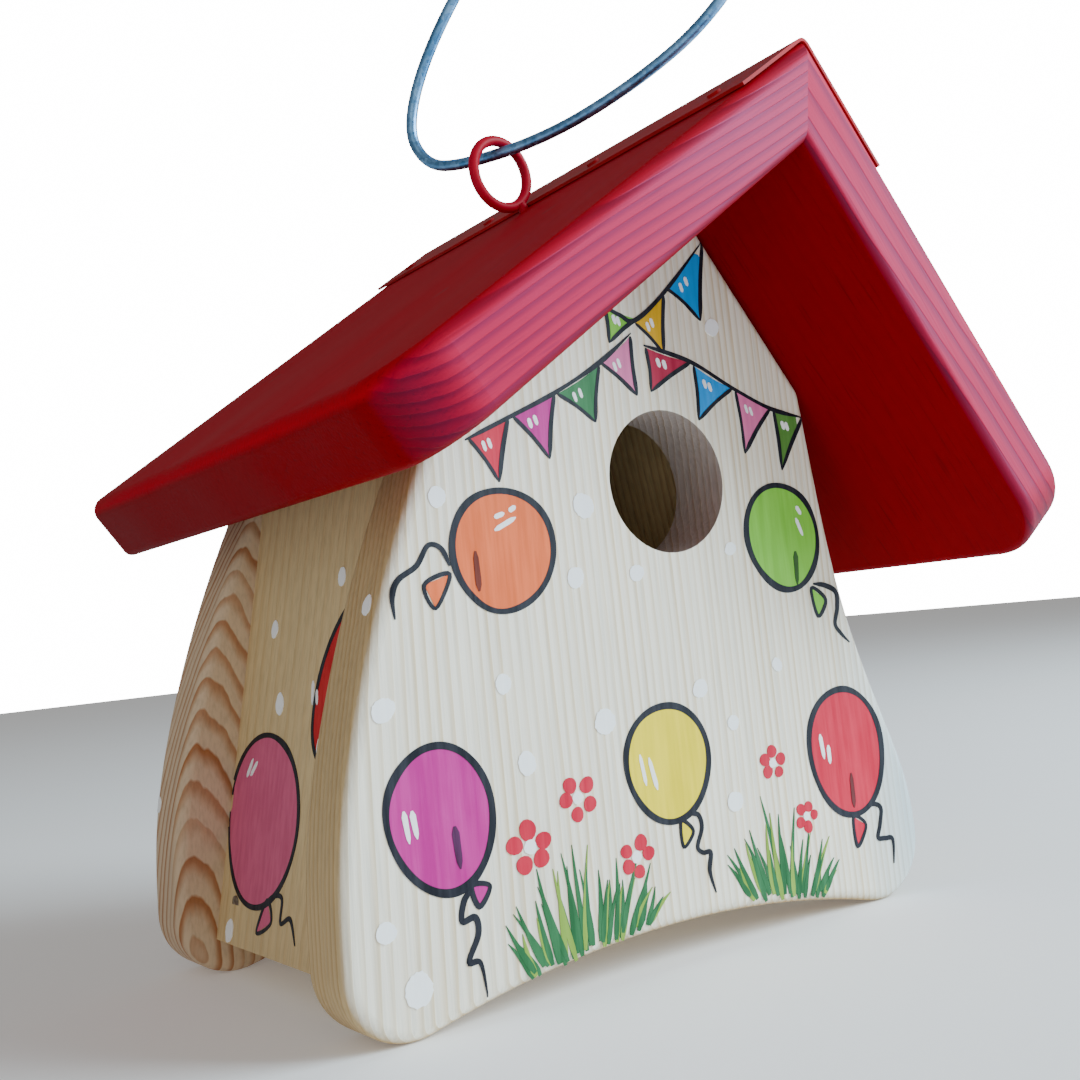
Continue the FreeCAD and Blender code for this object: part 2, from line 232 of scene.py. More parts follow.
def grain(tree, log):
    spot = place(tree, "ShaderNodeTexCoord").outputs["Object"]
    turn = [math.radians(a) for a in log["turn"]]
    inLog = place(tree, "ShaderNodeMapping", {0: spot, 1: log["heart"], 2: turn},
                  vector_type="TEXTURE").outputs[0]
    slow = cloud(tree, spread(tree, inLog, woodGrain["drift"]), 1.0, 2.0).outputs["Color"]
    centred = place(tree, "ShaderNodeVectorMath", {0: slow, 1: (0.5, 0.5, 0.5)},
                    operation="SUBTRACT").outputs[0]
    shift = spread(tree, centred, (log["wander"] * mm * 2,) * 3)
    bent = place(tree, "ShaderNodeVectorMath", {0: inLog, 1: shift}, operation="ADD").outputs[0]
    flat = spread(tree, bent, (1, 1, 0))
    radius = place(tree, "ShaderNodeVectorMath", {0: flat}, operation="LENGTH").outputs["Value"]
    fray = cloud(tree, spread(tree, inLog, woodGrain["fray"]), 1.0, 2.0).outputs["Fac"]
    count = calc(tree, "ADD", calc(tree, "DIVIDE", radius, log["ring"] * mm),
                 calc(tree, "MULTIPLY", fray, woodGrain["frayReach"]))
    phase = calc(tree, "FRACT", count)
    late = ramp(tree, phase, woodGrain["ringShade"])
    year = place(tree, "ShaderNodeTexWhiteNoise", {"W": calc(tree, "FLOOR", count)},
                 noise_dimensions="1D").outputs["Value"]
    fibre = cloud(tree, spread(tree, inLog, woodGrain["fibre"]), 1.0, 2.0).outputs["Fac"]
    blotch = cloud(tree, spread(tree, inLog, woodGrain["blotch"]), 1.0, 3.0).outputs["Fac"]
    return {"late": late, "year": year, "fibre": fibre, "blotch": blotch, "spot": spot}


bareLook = {"yearLeast": 0.5, "yearSpread": 0.6, "streaks": [(0.30, 0.86), (0.55, 1.0), (0.8, 1.05)],
            "patches": [(0.25, 0.90), (0.7, 1.04)], "rough": 0.50, "roughSpread": 0.18, "shine": 0.35,
            "lateRelief": 0.7, "fibreRelief": 0.5, "relief": 0.12, "bump": 0.7}


def bareWood(name, log, stain=False):
    finish, tree, shader = newFinish(name)
    cut = grain(tree, log)
    year = scaleAdd(tree, cut["year"], bareLook["yearSpread"], bareLook["yearLeast"])
    share = calc(tree, "MULTIPLY", cut["late"], year)
    colour = blendColour(tree, calc(tree, "MULTIPLY", share, log["bold"]),
                         tint(log["early"]), tint(log["late"]))
    streak = ramp(tree, cut["fibre"], bareLook["streaks"])
    colour = blendColour(tree, 1.0, colour, streak, "MULTIPLY")
    patch = ramp(tree, cut["blotch"], bareLook["patches"])
    colour = blendColour(tree, 1.0, colour, patch, "MULTIPLY")
    if stain:
        colour = blueStain(tree, cut["spot"], colour)
        colour = rawSides(tree, colour)
    tree.links.new(colour, shader.inputs["Base Color"])
    gloss = scaleAdd(tree, cut["fibre"], bareLook["roughSpread"], bareLook["rough"])
    tree.links.new(gloss, shader.inputs["Roughness"])
    shader.inputs["Specular IOR Level"].default_value = bareLook["shine"]
    relief = calc(tree, "ADD", calc(tree, "MULTIPLY", cut["late"], bareLook["lateRelief"]),
                  calc(tree, "MULTIPLY", cut["fibre"], bareLook["fibreRelief"]))
    roughen(tree, shader, relief, bareLook["relief"] * mm, bareLook["bump"])
    return finish


sapStain = {"wave": (30, 30, 6), "waveReach": 0.03, "across": [(0.66, 0.0), (0.86, 1.0)],
            "low": [(0.35, 1.0), (0.95, 0.0)], "bold": 0.62, "shade": "98c2da"}


# Sapwood stain down the front board's right flank; both ramps run over a tenth of a metre
def blueStain(tree, spot, colour):
    axes = place(tree, "ShaderNodeSeparateXYZ", {0: spot})
    wave = cloud(tree, spread(tree, spot, sapStain["wave"]), 1.0, 2.0).outputs["Fac"]
    edge = calc(tree, "ADD", axes.outputs[0], calc(tree, "MULTIPLY", wave, sapStain["waveReach"]))
    across = ramp(tree, calc(tree, "MULTIPLY", edge, 10.0), sapStain["across"])
    low = ramp(tree, calc(tree, "MULTIPLY", axes.outputs[2], 10.0), sapStain["low"])
    share = calc(tree, "MULTIPLY", calc(tree, "MULTIPLY", across, low), sapStain["bold"])
    return blendColour(tree, share, colour, tint(sapStain["shade"]))


# How squarely a face looks to the front, 0 to 1
def frontShare(tree, low, high):
    normal = place(tree, "ShaderNodeTexCoord").outputs["Normal"]
    inward = place(tree, "ShaderNodeSeparateXYZ", {0: normal}).outputs[1]
    return ramp(tree, calc(tree, "ABSOLUTE", inward), [(low, 0.0), (high, 1.0)])


# How much a face looks down, 0 to 1; this places the painted shade on the faces that look down
def underShadeShare(tree):
    normal = place(tree, "ShaderNodeTexCoord").outputs["Normal"]
    upward = place(tree, "ShaderNodeSeparateXYZ", {0: normal}).outputs[2]
    return ramp(tree, calc(tree, "MULTIPLY", upward, -1.0), [(0.05, 0.0), (0.45, 1.0)])


# The entrance's "shade" is a painted shade tint for the wall inside the hole
entrance = {"height": 108.0, "radius": 17.0, "margin": 0.4, "shade": "b8aeb4", "flankShade": "ccb48e",
            "primed": (0.45, 0.85)}


# The front board is primed on its face only; its flanks are raw, and the entrance's wall takes a darker,
# greyer tint as painted shade inside the hole
def rawSides(tree, colour):
    raw = blendColour(tree, 1.0, colour, tint(entrance["flankShade"]), "MULTIPLY")
    spot = place(tree, "ShaderNodeTexCoord").outputs["Object"]
    centred = place(tree, "ShaderNodeVectorMath", {0: spot, 1: (0, 0, entrance["height"] * mm)},
                    operation="SUBTRACT").outputs[0]
    reach = place(tree, "ShaderNodeVectorMath", {0: spread(tree, centred, (1, 0, 1))},
                  operation="LENGTH").outputs["Value"]
    inBore = calc(tree, "LESS_THAN", reach, (entrance["radius"] + entrance["margin"]) * mm)
    # Painted shade: the wall inside the entrance is darkened and greyed
    boreShade = blendColour(tree, 1.0, colour, tint(entrance["shade"]), "MULTIPLY")
    raw = blendColour(tree, inBore, raw, boreShade)
    return blendColour(tree, frontShare(tree, *entrance["primed"]), raw, colour)


# The roof paint's "shade" is a painted shade tint for the faces under the roof
roofPaint = {"deep": "9c0010", "thin": "bc001e", "line": "50000c", "bandLines": 0.60, "flatLines": 0.05,
             "rough": 0.46, "roughSpread": 0.30, "shine": 0.05, "bandShine": 0.44,
             "sheen": (0.92, 0.28, 1.0, 1), "shade": "bc7c84", "bandFacing": (0.30, 0.80),
             "pores": [(0.26, 0.75), (0.42, 1.0)], "fibreRelief": 0.5, "relief": 0.16, "bump": 0.75}


def paintedRoof(name, log):
    finish, tree, shader = newFinish(name)
    cut = grain(tree, log)
    colour = blendColour(tree, cut["blotch"], tint(roofPaint["deep"]), tint(roofPaint["thin"]))
    band = frontShare(tree, *roofPaint["bandFacing"])
    spare = roofPaint["bandLines"] - roofPaint["flatLines"]
    bold = scaleAdd(tree, band, spare, roofPaint["flatLines"])
    late = calc(tree, "MULTIPLY", cut["late"], bold)
    colour = blendColour(tree, late, colour, tint(roofPaint["line"]))
    pores = ramp(tree, cut["fibre"], roofPaint["pores"])
    colour = blendColour(tree, 1.0, colour, pores, "MULTIPLY")
    # Painted shade: faces that look down, the roof's underside, take the darker "shade" tint
    paintedUnderShade = blendColour(tree, 1.0, colour, tint(roofPaint["shade"]), "MULTIPLY")
    colour = blendColour(tree, underShadeShare(tree), colour, paintedUnderShade)
    tree.links.new(colour, shader.inputs["Base Color"])
    gloss = scaleAdd(tree, cut["blotch"], roofPaint["roughSpread"], roofPaint["rough"])
    tree.links.new(gloss, shader.inputs["Roughness"])
    shine = scaleAdd(tree, band, roofPaint["bandShine"], roofPaint["shine"])
    tree.links.new(shine, shader.inputs["Specular IOR Level"])
    shader.inputs["Specular Tint"].default_value = roofPaint["sheen"]
    ridges = calc(tree, "SUBTRACT", calc(tree, "MULTIPLY", cut["fibre"], roofPaint["fibreRelief"]), late)
    roughen(tree, shader, ridges, roofPaint["relief"] * mm, roofPaint["bump"])
    return finish


# Metal and sheet

sheetLook = {"mottle": 60.0, "grit": 900.0, "patches": [(0.35, 0.0), (0.7, 1.0)], "roughSpread": 0.2,
             "shine": 0.12, "relief": 0.06, "bump": 0.5}
steelLook = {"spangle": 900.0, "mottleShare": 0.7, "fleckShare": 0.3, "patches": [(0.3, 0.0), (0.7, 1.0)],
             "roughSpread": 0.2, "relief": 0.08, "bump": 0.5}


def sheetPaint(name, deep, worn, rough):
    finish, tree, shader = newFinish(name)
    spot = place(tree, "ShaderNodeTexCoord").outputs["Object"]
    mottle = cloud(tree, spot, sheetLook["mottle"], 4.0).outputs["Fac"]
    grit = cloud(tree, spot, sheetLook["grit"], 2.0).outputs["Fac"]
    colour = blendColour(tree, ramp(tree, mottle, sheetLook["patches"]), tint(deep), tint(worn))
    tree.links.new(colour, shader.inputs["Base Color"])
    gloss = scaleAdd(tree, mottle, sheetLook["roughSpread"], rough)
    tree.links.new(gloss, shader.inputs["Roughness"])
    shader.inputs["Specular IOR Level"].default_value = sheetLook["shine"]
    roughen(tree, shader, grit, sheetLook["relief"] * mm, sheetLook["bump"])
    return finish


def steelFinish(name, pale, dark, rough, streaks, metal=0.85):
    finish, tree, shader = newFinish(name)
    spot = place(tree, "ShaderNodeTexCoord").outputs["Object"]
    mottle = cloud(tree, spread(tree, spot, streaks), 1.0, 4.0).outputs["Fac"]
    spangle = place(tree, "ShaderNodeTexVoronoi", {"Vector": spot, "Scale": steelLook["spangle"]})
    fleck = place(tree, "ShaderNodeSeparateColor", {0: spangle.outputs["Color"]}).outputs[0]
    share = calc(tree, "ADD", calc(tree, "MULTIPLY", mottle, steelLook["mottleShare"]),
                 calc(tree, "MULTIPLY", fleck, steelLook["fleckShare"]))
    colour = blendColour(tree, ramp(tree, share, steelLook["patches"]), tint(dark), tint(pale))
    tree.links.new(colour, shader.inputs["Base Color"])
    shader.inputs["Metallic"].default_value = metal
    gloss = scaleAdd(tree, share, steelLook["roughSpread"], rough)
    tree.links.new(gloss, shader.inputs["Roughness"])
    roughen(tree, shader, share, steelLook["relief"] * mm, steelLook["bump"])
    return finish


# Craft paint brushed on wood: the grain shows through and the brush leaves ridges

brushLook = {"streak": (700, 700, 45), "pool": (110, 110, 60), "streakShare": 0.6, "poolShare": 0.4,
             "patches": [(0.38, 0.0), (0.62, 1.0)], "lift": 0.02, "rough": 0.42, "roughSpread": 0.2,
             "shine": 0.22, "relief": 0.10, "bump": 0.7}


def craftPaint(name, code, cover=0.85, bright=1.0):
    finish, tree, shader = newFinish(name)
    spot = place(tree, "ShaderNodeTexCoord").outputs["Object"]
    streak = cloud(tree, spread(tree, spot, brushLook["streak"]), 1.0, 3.0).outputs["Fac"]
    pool = cloud(tree, spread(tree, spot, brushLook["pool"]), 1.0, 2.0).outputs["Fac"]
    base = tint(code)
    dark = (base[0] * cover, base[1] * cover, base[2] * cover, 1)
    light = tuple(min(1.0, c * bright + brushLook["lift"]) for c in base[:3]) + (1,)
    share = calc(tree, "ADD", calc(tree, "MULTIPLY", streak, brushLook["streakShare"]),
                 calc(tree, "MULTIPLY", pool, brushLook["poolShare"]))
    colour = blendColour(tree, ramp(tree, share, brushLook["patches"]), dark, light)
    tree.links.new(colour, shader.inputs["Base Color"])
    gloss = scaleAdd(tree, pool, brushLook["roughSpread"], brushLook["rough"])
    tree.links.new(gloss, shader.inputs["Roughness"])
    shader.inputs["Specular IOR Level"].default_value = brushLook["shine"]
    roughen(tree, shader, streak, brushLook["relief"] * mm, brushLook["bump"])
    return finish


inks = {
    "orange": craftPaint("orangePaint", "ee6a2c", 0.82),
    "magenta": craftPaint("magentaPaint", "be1088", 0.84),
    "yellow": craftPaint("yellowPaint", "f2da00", 0.86),
    "red": craftPaint("redPaint", "ce0034", 0.84),
    "green": craftPaint("leafPaint", "80ce3c", 0.84),
    "forest": craftPaint("forestPaint", "2f7d45", 0.75),
    "pink": craftPaint("pinkPaint", "e878ac", 0.85),
    "wine": craftPaint("winePaint", "b81844", 0.82),
    "blue": craftPaint("bluePaint", "0c9cee", 0.85),
    "gold": craftPaint("goldPaint", "ecb800", 0.82),
    "olive": craftPaint("olivePaint", "5c9440", 0.8),
    "rose": craftPaint("rosePaint", "d65c84", 0.88),
    "scarlet": craftPaint("scarletPaint", "cc0010", 0.8),
    "navy": craftPaint("navyPaint", "040a1c", 0.7, 1.2),
    "white": craftPaint("whitePaint", "fbfdff", 0.95),
    "dotWhite": craftPaint("dotPaint", "fafdff", 0.97),
    "orangeMark": craftPaint("orangeMarkPaint", "7a2408", 0.5),
    "magentaMark": craftPaint("magentaMarkPaint", "54104c", 0.5),
    "redMark": craftPaint("redMarkPaint", "60040e", 0.5),
    "greenMark": craftPaint("greenMarkPaint", "2c5a0c", 0.5),
    "bladeDark": craftPaint("bladeDarkPaint", "1c6a38", 0.66),
    "bladePale": craftPaint("bladePalePaint", "84a83a", 0.8),
    "petal": craftPaint("petalPaint", "c80032", 0.85),
}
print("finishes ready")


# Painting on the boards: a brushed patch is a thin closed skin laid on a board by rays


def canvasOn(node, across):
    mesh = cadNodes[node].data
    tree = BVHTree.FromPolygons([v.co.copy() for v in mesh.vertices],
                                [tuple(p.vertices) for p in mesh.polygons])
    along = Vector(across)
    return {"tree": tree, "across": along, "into": Vector((0, 0, 1)).cross(along)}


rayStart = 0.3
leastFacing = 0.25  # a face turned further from the ray than this takes no paint
paintRoot = 0.05 * mm
crownMargin = 1.6 * mm
crownLift = 0.06 * mm
crownDepth = 1.2 * mm
crownApart = 12 * mm


def touch(canvas, u, v):
    for crown in canvas.get("crowns", []):
        if abs(u - crown["x"]) < crownMargin and abs(v - crown["z"]) < crown["half"] + crownMargin:
            return Vector((u, frontY - crownLift, v)), Vector((0, -1, 0))
    start = canvas["across"] * u + Vector((0, 0, v)) - canvas["into"] * rayStart
    spot, normal, _, _ = canvas["tree"].ray_cast(start, canvas["into"], 2 * rayStart)
    if spot is None or normal.dot(canvas["into"]) > -leastFacing:
        return None
    return spot, normal


def raiseSkin(mesh, canvas, flatPoints, faces, height, slot):
    tops = []
    roots = []
    for u, v in flatPoints:
        found = touch(canvas, u, v)
        if found is None:
            tops.append(None)
            roots.append(None)
            continue
        spot, normal = found
        tops.append(mesh.verts.new(spot + normal * height))
        roots.append(mesh.verts.new(spot - normal * paintRoot))
    kept = [face for face in faces if all(tops[i] is not None for i in face)]
    sides = {}
    for face in kept:
        for a, b in zip(face, face[1:] + face[:1]):
            sides[(a, b)] = True
    made = []
    for face in kept:
        made.append(mesh.faces.new([tops[i] for i in face]))
        made.append(mesh.faces.new([roots[i] for i in reversed(face)]))
    for a, b in sides:
        if (b, a) not in sides:
            made.append(mesh.faces.new([tops[b], tops[a], roots[a], roots[b]]))
    for face in made:
        face.material_index = slot
    used = set()
    for face in kept:
        used.update(face)
    for i in range(len(tops)):
        if tops[i] is not None and i not in used:
            mesh.verts.remove(tops[i])
            mesh.verts.remove(roots[i])


def layPatch(mesh, canvas, outline, height, slot, pitch=2.5):
    us = [p[0] for p in outline]
    vs = [p[1] for p in outline]
    points = [Vector(p) for p in outline]
    step = pitch * mm
    u = min(us) + step / 2
    while u < max(us):
        v = min(vs) + step / 2
        while v < max(vs):
            points.append(Vector((u, v)))
            v += step
        u += step
    rim = [(i, (i + 1) % len(outline)) for i in range(len(outline))]
    flat, _, faces, _, _, _ = delaunay_2d_cdt(points, rim, [], 1, 1e-7)
    raiseSkin(mesh, canvas, [tuple(p) for p in flat], [list(f) for f in faces], height, slot)


brush = {"swell": 0.38, "swellPitch": 90, "startWidth": 0.35, "startRise": 6, "endWidth": 0.22, "endRise": 4}


# A brush line of changing width; its ends taper where the brush lifts
def layStroke(mesh, canvas, line, width, height, slot, closed=False, seed=0):
    points = smoothLine(line, closed)
    flat = []
    faces = []
    total = len(points)
    for i, here in enumerate(points):
        before = points[i - 1] if closed or i else here
        after = points[(i + 1) % total] if closed or i < total - 1 else here
        side = (after - before).normalized()
        side = Vector((-side.y, side.x))
        pitch = brush["swellPitch"]
        swell = 1 + brush["swell"] * noise.noise(Vector((here.x * pitch, here.y * pitch, seed)))
        if not closed:
            share = i / (total - 1)
            swell *= min(1.0, brush["startWidth"] + share * brush["startRise"],
                         brush["endWidth"] + (1 - share) * brush["endRise"])
        half = width * mm * swell / 2
        flat += [here + side * half, here, here - side * half]
        if i or closed:
            last = (3 * (i - 1)) % (3 * total)
            now = 3 * i
            faces += [[last, now, now + 1, last + 1], [last + 1, now + 1, now + 2, last + 2]]
    raiseSkin(mesh, canvas, [tuple(p) for p in flat], faces, height, slot)


def smoothLine(line, closed, steps=7):
    points = [Vector(p) for p in line]
    total = len(points)
    if total == 2:
        return [points[0].lerp(points[1], i / 6) for i in range(7)]
    made = []
    for i in range(total if closed else total - 1):
        p1 = points[i]
        p2 = points[(i + 1) % total]
        p0 = points[i - 1] if closed or i else p1
        p3 = points[(i + 2) % total] if closed or i < total - 2 else p2
        for j in range(steps):
            t = j / steps
            made.append(0.5 * (2 * p1 + (p2 - p0) * t + (2 * p0 - 5 * p1 + 4 * p2 - p3) * t ** 2
                               + (3 * p1 - p0 - 3 * p2 + p3) * t ** 3))
    if not closed:
        made.append(points[-1])
    return made


def paintPiece(name, mesh, inkNames, body="house"):
    bmesh.ops.recalc_face_normals(mesh, faces=mesh.faces)
    data = bpy.data.meshes.new(name)
    mesh.to_mesh(data)
    mesh.free()
    for ink in inkNames:
        data.materials.append(inks[ink])
    piece = addObject(name, data)
    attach(piece, body)
    return piece


# The staples' crowns on the front board, from the outermost points of the CAD staples
def findCrowns():
    crowns = []
    for vertex in cadNodes["front_staples"].data.vertices:
        if vertex.co.y > frontY + crownDepth:
            continue
        x, z = vertex.co.x, vertex.co.z
        near = [c for c in crowns if abs(c["x"] - x) < crownApart and abs(c["low"] - z) < crownApart]
        if not near:
            near = [{"left": x, "right": x, "x": x, "low": z, "high": z}]
            crowns += near
        near[0]["left"] = min(near[0]["left"], x)
        near[0]["right"] = max(near[0]["right"], x)
        near[0]["low"] = min(near[0]["low"], z)
        near[0]["high"] = max(near[0]["high"], z)
    for crown in crowns:
        crown["x"] = (crown["left"] + crown["right"]) / 2
        crown["z"] = (crown["low"] + crown["high"]) / 2
        crown["half"] = (crown["high"] - crown["low"]) / 2
    return crowns


frontCanvas = canvasOn("front_board", (1, 0, 0))
frontCanvas["crowns"] = findCrowns()
flankCanvas = canvasOn("front_board", (0, -1, 0))
rearFlankCanvas = canvasOn("back_board", (0, -1, 0))
panelCanvas = canvasOn("left_side_panel", (0, -1, 0))

# How high each coat stands, and how wide each stroke is in mm; knot and string are shares of the rim's width
layers = {"fill": 0.10 * mm, "line": 0.16 * mm, "light": 0.20 * mm, "step": 0.01 * mm}
strokes = {"balloon": 1.55, "sideBalloon": 1.4, "knot": 0.62, "string": 0.72, "shine": 1.15, "crown": 1.4,
           "flagLeft": 0.9, "flagRight": 1.1, "flagShine": 0.95, "cord": 1.0}

# Places in mm on the front: across from the entrance's axis, and up from the feet
balloons = [
    {"at": (-47, 94), "half": (12.6, 13.0), "lean": -20, "ink": "orange",
     "knot": [(-60.5, 89.8), (-66.6, 88), (-64.4, 83)],
     "string": [(-60.3, 91.5), (-62, 95.2), (-65, 96), (-68, 92), (-72.4, 89.4), (-74, 86), (-73.8, 81.5)],
     "shine": [[(-48.8, 98.4), (-43.2, 101)], [(-48.6, 101.2), (-46, 102)], [(-44.8, 102.4), (-43, 103.4)]]},
    {"at": (-67, 41), "half": (11.8, 14.6), "lean": 12, "ink": "magenta",
     "knot": [(-61.6, 27), (-57.4, 26.2), (-60.2, 22.6)],
     "string": [(-61.4, 26.6), (-63.6, 24.4), (-64.4, 20.6), (-61.4, 20.8), (-61, 17.4), (-63.6, 12.6),
                (-61, 11.8), (-60, 5)],
     "shine": [[(-75.4, 44), (-74.6, 37.6)], [(-73.6, 43.8), (-72.8, 38.2)]]},
    {"at": (-8.5, 43.5), "half": (11.8, 13.0), "lean": 6, "ink": "yellow",
     "knot": [(-6.6, 30.4), (-3.4, 27.6), (-6.6, 24.6)],
     "string": [(-4.6, 31.4), (-1.6, 31), (-0.8, 28), (-2.6, 24), (-1.2, 22.4), (1, 22), (0.2, 18),
                (1.4, 13)],
     "shine": [[(-16.4, 46.6), (-15.4, 39.6)], [(-14, 45.6), (-12.4, 38.2)]]},
    {"at": (48.5, 38), "half": (12.6, 15.6), "lean": 6, "ink": "red",
     "knot": [(48, 22), (52, 19.4), (48.2, 14.8)],
     "string": [(51.2, 22.4), (55, 24), (58, 22.6), (57, 18.6), (55.8, 15.6), (58.4, 15), (61, 14.2),
                (60.4, 8.4)],
     "shine": [[(39.6, 43.6), (40.2, 37.4)], [(42, 40.6), (42, 36)]]},
    {"at": (35, 93), "half": (11.9, 13.2), "lean": 12, "ink": "green",
     "knot": [(42.7, 79.7), (47.2, 76.4), (43.9, 72.5)],
     "string": [(43.5, 80.7), (47.6, 80), (51.2, 78), (51, 74), (49.6, 70), (51.6, 67.2), (54, 65)],
     "shine": [[(40.6, 100.6), (42, 98.4)], [(40, 97.6), (41.8, 93)]]},
]

# Flags as top left, top right and tip
flags = [
    ((-53.2, 118.4), (-42.8, 122.7), (-46.4, 108.8), "red"),
    ((-41.5, 123.2), (-30.0, 128.4), (-32.8, 113.7), "magenta"),
    ((-29.1, 128.4), (-16.7, 135.3), (-19.3, 122.0), "forest"),
    ((-16.2, 136.0), (-6.8, 142.6), (-6.5, 128.4), "pink"),
    ((-2.5, 140.0), (10.9, 136.9), (-2.2, 129.4), "wine"),
    ((11.8, 136.1), (23.4, 130.6), (11.6, 122.6), "blue"),
    ((24.5, 130.2), (35.6, 125.7), (25.4, 114.3), "pink"),
    ((36.7, 125.5), (46.6, 123.4), (37.3, 109.9), "olive"),
    ((-13.4, 149.6), (-4.6, 146.9), (-13.1, 140.8), "green"),
    ((-4.8, 145.9), (4.7, 153.2), (2.9, 138.7), "gold"),
    ((5.6, 155.3), (19.0, 167.6), (15.6, 147.5), "blue"),
]
buntingCords = [
    [(-54, 118), (-42, 123.2), (-29.5, 128.8), (-16.5, 136), (-6.5, 143.4)],
    [(-3, 140.6), (11, 137), (24, 130.6), (36, 125.6), (47.2, 123.4)],
    [(-13.4, 149.4), (-9.2, 147.6), (-4.8, 146.6), (5, 154), (19, 168)],
]


def scaled(points):
    return [(u * mm, v * mm) for u, v in points]


def balloonRim(spec, swell=1.0, count=30):
    lean = math.radians(spec["lean"])
    rim = []
    for i in range(count):
        angle = 2 * math.pi * i / count
        u = spec["half"][0] * swell * math.cos(angle) * (1 + 0.07 * math.sin(angle))
        v = spec["half"][1] * swell * math.sin(angle)
        wobble = 1 + 0.03 * noise.noise(Vector((math.cos(angle), math.sin(angle), spec["at"][0])))
        u, v = u * wobble, v * wobble
        rim.append((spec["at"][0] + u * math.cos(lean) - v * math.sin(lean),
                    spec["at"][1] + u * math.sin(lean) + v * math.cos(lean)))
    return rim


def paintBalloons(name, canvas, specs, lineWidth):
    used = sorted({spec["ink"] for spec in specs})
    fill = bmesh.new()
    lines = bmesh.new()
    lights = bmesh.new()
    for seed, spec in enumerate(specs):
        slot = used.index(spec["ink"])
        layPatch(fill, canvas, scaled(balloonRim(spec)), layers["fill"], slot)
        layStroke(lines, canvas, scaled(balloonRim(spec)), lineWidth, layers["line"], 0, True, seed)
        if "knot" in spec:
            layPatch(fill, canvas, scaled(spec["knot"]), layers["fill"], slot)
            layStroke(lines, canvas, scaled(spec["knot"]), lineWidth * strokes["knot"],
                      layers["line"] + layers["step"], 0, True, seed)
            layStroke(lines, canvas, scaled(spec["string"]), lineWidth * strokes["string"],
                      layers["line"] + 2 * layers["step"], 0, False, seed)
        for shine in spec["shine"]:
            layStroke(lights, canvas, scaled(shine), strokes["shine"], layers["light"], 0, False, seed)
    paintPiece(name + "Paint", fill, used)
    paintPiece(name + "Outlines", lines, ["navy"])
    paintPiece(name + "Highlights", lights, ["white"])


# Dark marks where the paint sank in over the staples' crowns
def paintCrowns():
    mesh = bmesh.new()
    used = sorted(spec["ink"] + "Mark" for spec in balloons if spec["ink"] != "yellow")
    for seed, crown in enumerate(frontCanvas["crowns"]):
        lean = (0.3 - 0.2 * seed) * mm
        line = [(crown["x"] - lean, crown["z"] + crown["half"]),
                (crown["x"] + lean, crown["z"] - crown["half"])]
        under = min(balloons, key=lambda spec: math.dist(spec["at"], (crown["x"] / mm, crown["z"] / mm)))
        slot = used.index(under["ink"] + "Mark")
        layStroke(mesh, frontCanvas, line, strokes["crown"], layers["light"], slot, False, seed)
    paintPiece("stapleMarks", mesh, used)


flagLook = {"hollow": 0.10, "shineAt": (0.18, 0.34), "shineAside": 0.08, "shineDown": 0.16,
            "shineReach": (0.7, -2.3)}


def paintBunting():
    used = sorted({flag[3] for flag in flags})
    fill = bmesh.new()
    lines = bmesh.new()
    lights = bmesh.new()
    for seed, (left, right, tip, ink) in enumerate(flags):
        corners = [Vector(left), Vector(right), Vector(tip)]
        middle = sum(corners, Vector((0, 0))) / 3
        rim = []
        for a, b in zip(corners, corners[1:] + corners[:1]):
            for share in (0.0, 0.25, 0.5, 0.75):
                spot = a.lerp(b, share)
                rim.append(spot.lerp(middle, flagLook["hollow"] * math.sin(math.pi * share)))
        layPatch(fill, frontCanvas, scaled(rim), layers["fill"], used.index(ink))
        leftMiddle, rightMiddle = rim[10], rim[6]
        layStroke(lines, frontCanvas, scaled([left, leftMiddle, tip]), strokes["flagLeft"],
                  layers["line"], 0, False, seed)
        layStroke(lines, frontCanvas, scaled([right, rightMiddle, tip]), strokes["flagRight"],
                  layers["line"] + layers["step"], 0, False, seed + 20)
        for step in flagLook["shineAt"]:
            across = corners[0].lerp(corners[1], step + flagLook["shineAside"])
            top = across.lerp(corners[2], flagLook["shineDown"])
            low = top + Vector(flagLook["shineReach"])
            layStroke(lights, frontCanvas, scaled([top, low]), strokes["flagShine"],
                      layers["light"], 0, False, seed)
    for seed, cord in enumerate(buntingCords):
        layStroke(lines, frontCanvas, scaled(cord), strokes["cord"],
                  layers["line"] + 2 * layers["step"], 0, False, seed + 40)
    paintPiece("buntingPaint", fill, used)
    paintPiece("buntingOutlines", lines, ["navy"])
    paintPiece("buntingHighlights", lights, ["white"])


# Left side, across from the middle towards the front, and up from the feet
sideBalloons = [
    {"at": (-28, 38), "half": (21.5, 19.5), "lean": -12, "ink": "rose",
     "knot": [(-19.5, 21), (-24, 13.5), (-16, 16.5)],
     "string": [(-20, 20.6), (-15, 22.4), (-11, 22), (-10.6, 17), (-5.4, 18.4), (-1.5, 13.4)],
     "shine": [[(-40, 47.6), (-37, 52)], [(-37.6, 48), (-34, 51.4)]]},
    {"at": (12, 69), "half": (19.5, 13.6), "lean": 60, "ink": "scarlet",
     "shine": [[(-5.4, 70), (-4.6, 64.6)], [(-2.8, 68), (-2, 64.6)]]},
]


# What repeats on the front: dots, petals and blades of grass, strewn by a node tree


